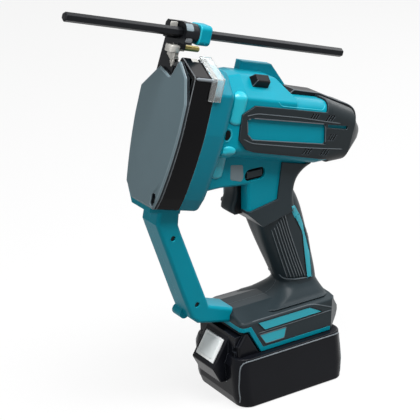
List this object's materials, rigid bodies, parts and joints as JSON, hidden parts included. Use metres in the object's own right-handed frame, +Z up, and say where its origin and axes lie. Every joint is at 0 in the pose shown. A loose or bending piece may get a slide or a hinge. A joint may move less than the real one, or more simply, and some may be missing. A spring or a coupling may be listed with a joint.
{
  "type": "cordless threaded rod cutter",
  "caption": "Pistol-grip cordless cutter for threaded rod: hooked shearing head with a sliding gauge bar, hand guard in front of the handle and a slide-on battery under the foot.",
  "frame": {"origin": "under the middle of the battery's bottom face", "axes": "+X to the rear of the tool, +Y to its right, +Z up; the motor line rises 14.5 degrees to the front"},
  "size_m": [0.2916, 0.074, 0.3771],
  "materials": {
    "teal_plastic": "satin moulded",
    "teal_casting": "painted satin",
    "slate_plate": "satin painted",
    "black_cover": "gloss",
    "black_plastic": "fine texture",
    "battery_plastic": "fine texture",
    "grip_rubber": "matt, ribbed on the handle",
    "white_plastic": "gloss",
    "clear_plastic": "clear",
    "tool_steel": "ground",
    "black_steel": "blackened",
    "gear_steel": "machined",
    "bearing_steel": "polished",
    "lamination": "stacked sheet",
    "brass": "turned",
    "copper": "plated",
    "alloy": "machined",
    "cell_wrap": "shrink film",
    "potting": "resin"
  },
  "bodies": {
    "body": {"housing_left": "teal_plastic", "housing_right": "teal_plastic", "guard_left": "teal_plastic", "guard_right": "teal_plastic", "grip_inlay_left": "teal_plastic", "grip_inlay_right": "teal_plastic", "foot_inlay_left": "teal_plastic", "foot_inlay_right": "teal_plastic", "gear_housing": "teal_casting", "front_plate": "slate_plate", "front_cover": "black_cover", "rear_bumper": "black_plastic", "switch_block": "black_plastic", "terminal_block": "black_plastic", "grip_left": "grip_rubber", "grip_right": "grip_rubber", "side_frame_left": "grip_rubber", "side_frame_right": "grip_rubber", "chip_guard": "clear_plastic", "fixed_die": "tool_steel", "pivot_pin": "tool_steel", "hook_arm": "black_steel", "clamp_sleeve": "black_steel", "cover_bolts": "black_steel", "housing_screws": "black_steel", "guard_screws": "black_steel", "ring_gear": "gear_steel", "head_bearings": "bearing_steel", "motor_bearings": "bearing_steel", "stator": "lamination", "stop_pin": "brass", "terminal_blades": "copper", "gearbox_plate": "alloy", "controller_board": "potting"},
    "arm": {"swing_arm": "black_steel", "moving_die": "tool_steel", "die_screw": "black_steel", "roller_pin": "tool_steel"},
    "roller": {"cam_roller": "tool_steel"},
    "camshaft": {"cam_shaft": "tool_steel", "cam": "tool_steel", "drive_wheel": "gear_steel"},
    "carrier": {"pinion_shaft": "gear_steel", "planet_carrier": "gear_steel"},
    "planet_1": {"planet_gear_1": "gear_steel"},
    "planet_2": {"planet_gear_2": "gear_steel"},
    "planet_3": {"planet_gear_3": "gear_steel"},
    "rotor": {"rotor_shaft": "gear_steel", "rotor_core": "lamination", "cooling_fan": "black_plastic"},
    "trigger": {"trigger": "black_plastic"},
    "direction_lever": {"direction_lever": "black_plastic"},
    "selector_knob": {"selector_knob": "black_plastic"},
    "gauge": {"gauge_bar": "black_steel"},
    "clamp_cap": {"clamp_cap": "teal_plastic"},
    "battery": {"battery_case": "battery_plastic", "battery_deck": "battery_plastic", "battery_cells": "cell_wrap", "battery_contacts": "copper"},
    "battery_button": {"battery_button": "white_plastic"}
  },
  "joints": [
    {"name": "rotor_spin", "type": "hinge", "parent": "body", "child": "rotor", "pos_m": [0.00225, 0, 0.24835], "axis": [-0.9681, 0, 0.2504], "range_deg": [0, 1687.5]},
    {"name": "carrier_spin", "type": "hinge", "parent": "body", "child": "carrier", "pos_m": [-0.0752, 0, 0.26838], "axis": [-0.9681, 0, 0.2504], "range_deg": [0, 375.5]},
    {"name": "planet_1_spin", "type": "hinge", "parent": "carrier", "child": "planet_1", "pos_m": [-0.04955, 0, 0.27569], "axis": [0.9681, 0, -0.2504], "range_deg": [0, 1051]},
    {"name": "planet_2_spin", "type": "hinge", "parent": "carrier", "child": "planet_2", "pos_m": [-0.05462, -0.01169, 0.25608], "axis": [0.9681, 0, -0.2504], "range_deg": [0, 1051]},
    {"name": "planet_3_spin", "type": "hinge", "parent": "carrier", "child": "planet_3", "pos_m": [-0.05462, 0.01169, 0.25608], "axis": [0.9681, 0, -0.2504], "range_deg": [0, 1051]},
    {"name": "cam_turn", "type": "hinge", "parent": "body", "child": "camshaft", "pos_m": [-0.10245, 0, 0.24289], "axis": [0.9681, 0, -0.2504], "range_deg": [0, 150.5]},
    {"name": "arm_swing", "type": "hinge", "parent": "body", "child": "arm", "pos_m": [-0.1093, 0.018, 0.2803], "axis": [-0.9681, 0, 0.2504], "range_deg": [0, 15.1]},
    {"name": "roller_spin", "type": "hinge", "parent": "arm", "child": "roller", "pos_m": [-0.10905, -0.01259, 0.24933], "axis": [0.9681, 0, -0.2504], "continuous": true},
    {"name": "trigger_pull", "type": "slide", "parent": "body", "child": "trigger", "axis": [1, 0, 0], "range_m": [0, 0.006], "stiffness_N_per_m": 500, "springref_m": -0.006},
    {"name": "direction_shift", "type": "slide", "parent": "body", "child": "direction_lever", "axis": [0, 1, 0], "range_m": [-0.003, 0.003]},
    {"name": "selector_slide", "type": "slide", "parent": "body", "child": "selector_knob", "axis": [0.9681, 0, -0.2504], "range_m": [0, 0.006]},
    {"name": "gauge_slide", "type": "slide", "parent": "body", "child": "gauge", "axis": [0.9681, 0, -0.2504], "range_m": [-0.09, 0.09]},
    {"name": "cap_turn", "type": "hinge", "parent": "body", "child": "clamp_cap", "pos_m": [-0.08541, 0, 0.34074], "axis": [0.9681, 0, -0.2504], "range_deg": [0, 90]},
    {"name": "battery_slide", "type": "slide", "parent": "body", "child": "battery", "axis": [-1, 0, 0], "range_m": [0, 0.075]},
    {"name": "battery_button_press", "type": "slide", "parent": "battery", "child": "battery_button", "axis": [0.8682, 0, -0.4961], "range_m": [0, 0.004], "stiffness_N_per_m": 700, "springref_m": -0.003}
  ],
  "couplings": [
    {"joint": "carrier_spin", "follows": "rotor_spin", "ratio": 0.22222},
    {"joint": "cam_turn", "follows": "rotor_spin", "ratio": 0.088889},
    {"joint": "arm_swing", "follows": "rotor_spin", "ratio": 0.0088889},
    {"joint": "planet_1_spin", "follows": "rotor_spin", "ratio": 0.62222},
    {"joint": "planet_2_spin", "follows": "rotor_spin", "ratio": 0.62222},
    {"joint": "planet_3_spin", "follows": "rotor_spin", "ratio": 0.62222}
  ]
}
